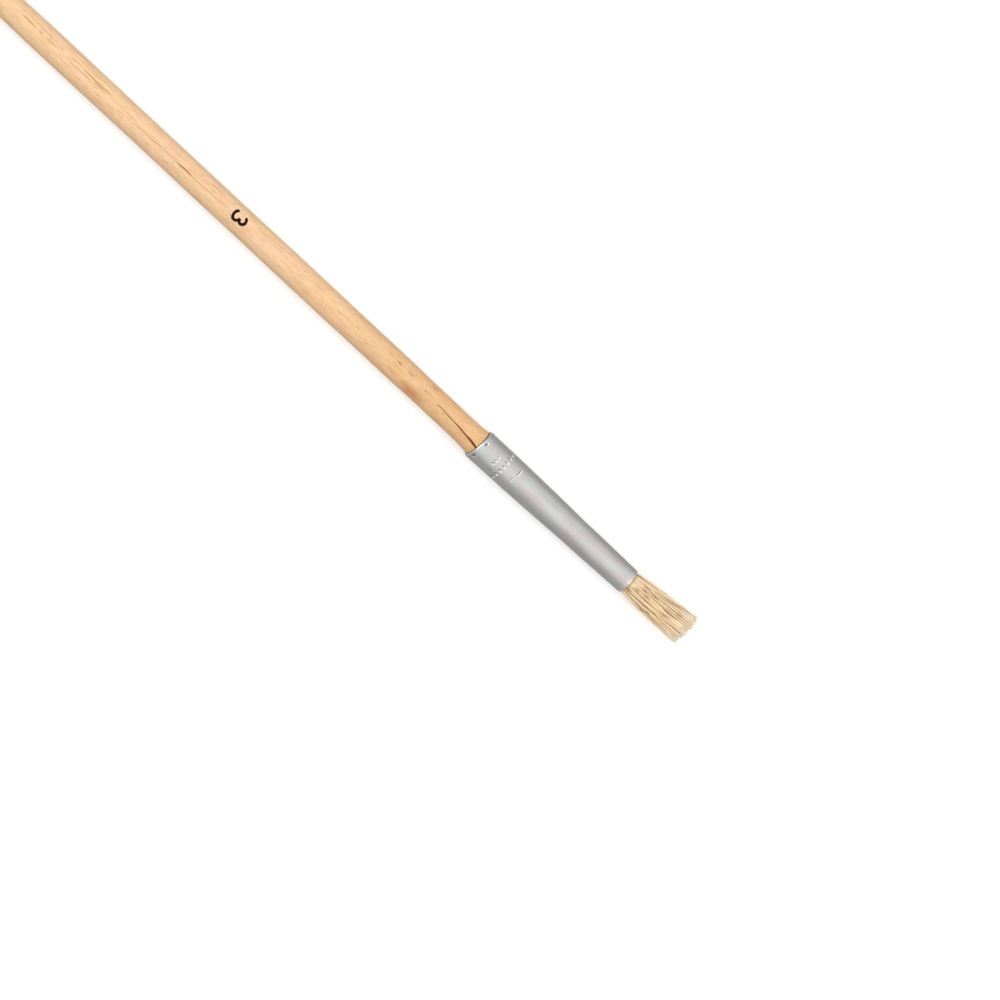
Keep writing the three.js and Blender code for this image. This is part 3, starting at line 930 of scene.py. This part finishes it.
def make_lock(name, members, material):
    """One piece with all the bristles of a lock."""
    clumps = make_clumps(members)
    vertices, faces, free, tone = [], [], [], []
    count = 0
    for share, angle in members:
        y, z = share * math.sin(angle), share * math.cos(angle)
        clump = min(clumps, key=lambda c: math.hypot(c["y"] - y, c["z"] - z))
        reach = min(clump["reach"] + rng.normal(0, BRISTLE_REACH), 1.0)
        made, sides, parts, light = make_bristle(share, angle, clump, reach)
        vertices.append(made)
        faces += [[k + count for k in face] for face in sides]
        count += len(made)
        free.append(parts)
        tone.append(np.clip(bristle_tone(share, clump) * light, 0, 1))
    piece = new_object(name, np.concatenate(vertices).tolist(), faces)
    set_attribute(piece, "free", np.concatenate(free))
    set_attribute(piece, "tone", np.concatenate(tone))
    piece.data.materials.append(material)
    return piece


def make_tuft(material):
    """The core, fixed to the brush, and the locks round it, each a piece of its own."""
    members = {}
    for share, angle in bundle():
        members.setdefault(lock_of(share, angle), []).append((share, angle))
    core = make_lock("bristles_core", members.pop(None), material)
    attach(core, BRUSH_BODY)
    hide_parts("bristle_core")
    for lock in sorted(members):
        piece = make_lock(lock.replace("lock", "bristles"), members[lock], material)
        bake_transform(piece)
        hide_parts(lock)


# ---------------------------------------------------------------- studio

# The camera leans back this far towards the handle, and the brush runs down to the right at this slope.
VIEW_TILT = math.radians(10.5)
BRUSH_SLOPE = math.radians(42.93)
VIEW_WIDTH = 204.6 * MM
CAMERA_DISTANCE = 3.0
CLIP_START, CLIP_END = 0.01, 100
SENSOR = 36.0
# The point that the middle of the picture shows.
LOOK_AHEAD_OF_RIM, LOOK_ASIDE = 11.8 * MM, -5.55 * MM
# The direction in which the dome is brightest, its least and most light, and the cosines where they begin.
DOME_TOP = (0.0, 0.208, 0.978)
DOME_DIM, DOME_BRIGHT, DIM_UNTIL, BRIGHT_FROM = 0.48, 1.0, 0.08, 0.72
SOFTBOX_SIZE, SOFTBOX_POWER = 0.6, 4.2
SOFTBOX_PLACE = Vector((1.15, 0.1, 0.97))
FLOOR_SIZE, FLOOR_GAP = 4.0, 0.02 * MM


def make_camera():
    """Looks down on the brush from a little towards the handle."""
    back = Vector((-math.sin(VIEW_TILT), 0, math.cos(VIEW_TILT)))
    along = Vector((math.cos(VIEW_TILT), 0, math.sin(VIEW_TILT)))
    aside = Vector((0, 1, 0))
    right = along * math.cos(BRUSH_SLOPE) + aside * math.sin(BRUSH_SLOPE)
    up = aside * math.cos(BRUSH_SLOPE) - along * math.sin(BRUSH_SLOPE)
    data = bpy.data.cameras.new("camera")
    data.sensor_width = SENSOR
    data.lens = SENSOR * CAMERA_DISTANCE / VIEW_WIDTH
    data.clip_start, data.clip_end = CLIP_START, CLIP_END
    camera = bpy.data.objects.new("camera", data)
    turn = Matrix((right, up, back)).transposed()
    place = Vector((RIM + LOOK_AHEAD_OF_RIM, LOOK_ASIDE, AXIS_Z)) + back * CAMERA_DISTANCE
    camera.matrix_world = Matrix.Translation(place) @ turn.to_4x4()
    bpy.context.scene.collection.objects.link(camera)
    bpy.context.scene.camera = camera


def make_world():
    """A soft dome: bright overhead and a little to the +Y side, dimmer towards the horizon."""
    world = bpy.data.worlds.new("soft_dome")
    bpy.context.scene.world = world
    n = Nodes(world)
    direction = n.add("ShaderNodeTexCoord").outputs["Generated"]
    towards = n.add("ShaderNodeVectorMath", operation="DOT_PRODUCT")
    n.link(direction, towards.inputs[0])
    towards.inputs[1].default_value = DOME_TOP
    glow = n.remap(towards.outputs["Value"], DIM_UNTIL, BRIGHT_FROM, DOME_DIM, DOME_BRIGHT)
    background = n.add("ShaderNodeBackground")
    n.link(glow, background.inputs["Strength"])
    background.inputs["Color"].default_value = colour(1, 1, 1)
    output = n.add("ShaderNodeOutputWorld")
    n.link(background.outputs[0], output.inputs["Surface"])


def make_end_light(side):
    """A softbox beyond one end of the brush, which catches the edges of the ferrule."""
    data = bpy.data.lights.new("softbox", "AREA")
    data.shape = "SQUARE"
    data.size = SOFTBOX_SIZE
    data.energy = SOFTBOX_POWER
    light = bpy.data.objects.new("softbox", data)
    light.location = SOFTBOX_PLACE * Vector((side, 1, 1))
    light.rotation_euler = (-light.location).to_track_quat("-Z", "Y").to_euler()
    light.visible_camera = False
    bpy.context.scene.collection.objects.link(light)


def make_floor():
    """A flat floor just under the ferrule's rim, which is round here and has flats in the CAD model."""
    round_radius = (FERRULE_HIGH.z - AXIS_Z) / math.cos(math.pi / CAD_SIDES)
    z = min(CAD_LOW.z, AXIS_Z - round_radius) - FLOOR_GAP
    corners = [(x * FLOOR_SIZE, y * FLOOR_SIZE, z) for x, y in ((-1, -1), (1, -1), (1, 1), (-1, 1))]
    floor = new_object("floor", corners, [(0, 1, 2, 3)], smooth=False)
    floor.data.materials.append(floor_material())
    floor.visible_glossy = False
    floor.visible_diffuse = False


# ---------------------------------------------------------------- scene

def main():
    """The studio, the pieces, and materials for the CAD nodes that are shown as they are."""
    bpy.context.scene.view_settings.view_transform = "Standard"
    make_camera()
    make_world()
    make_end_light(-1)
    make_end_light(1)
    make_floor()
    outline = make_handle(wood_material())
    make_number(outline, ink_material())
    make_ferrule(aluminium_material())
    make_tuft(bristle_material())
    for node, material in (("glue_plug", glue_material()), ("root_thread", thread_material())):
        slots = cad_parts[node].data.materials
        slots.clear()
        slots.append(material)


main()
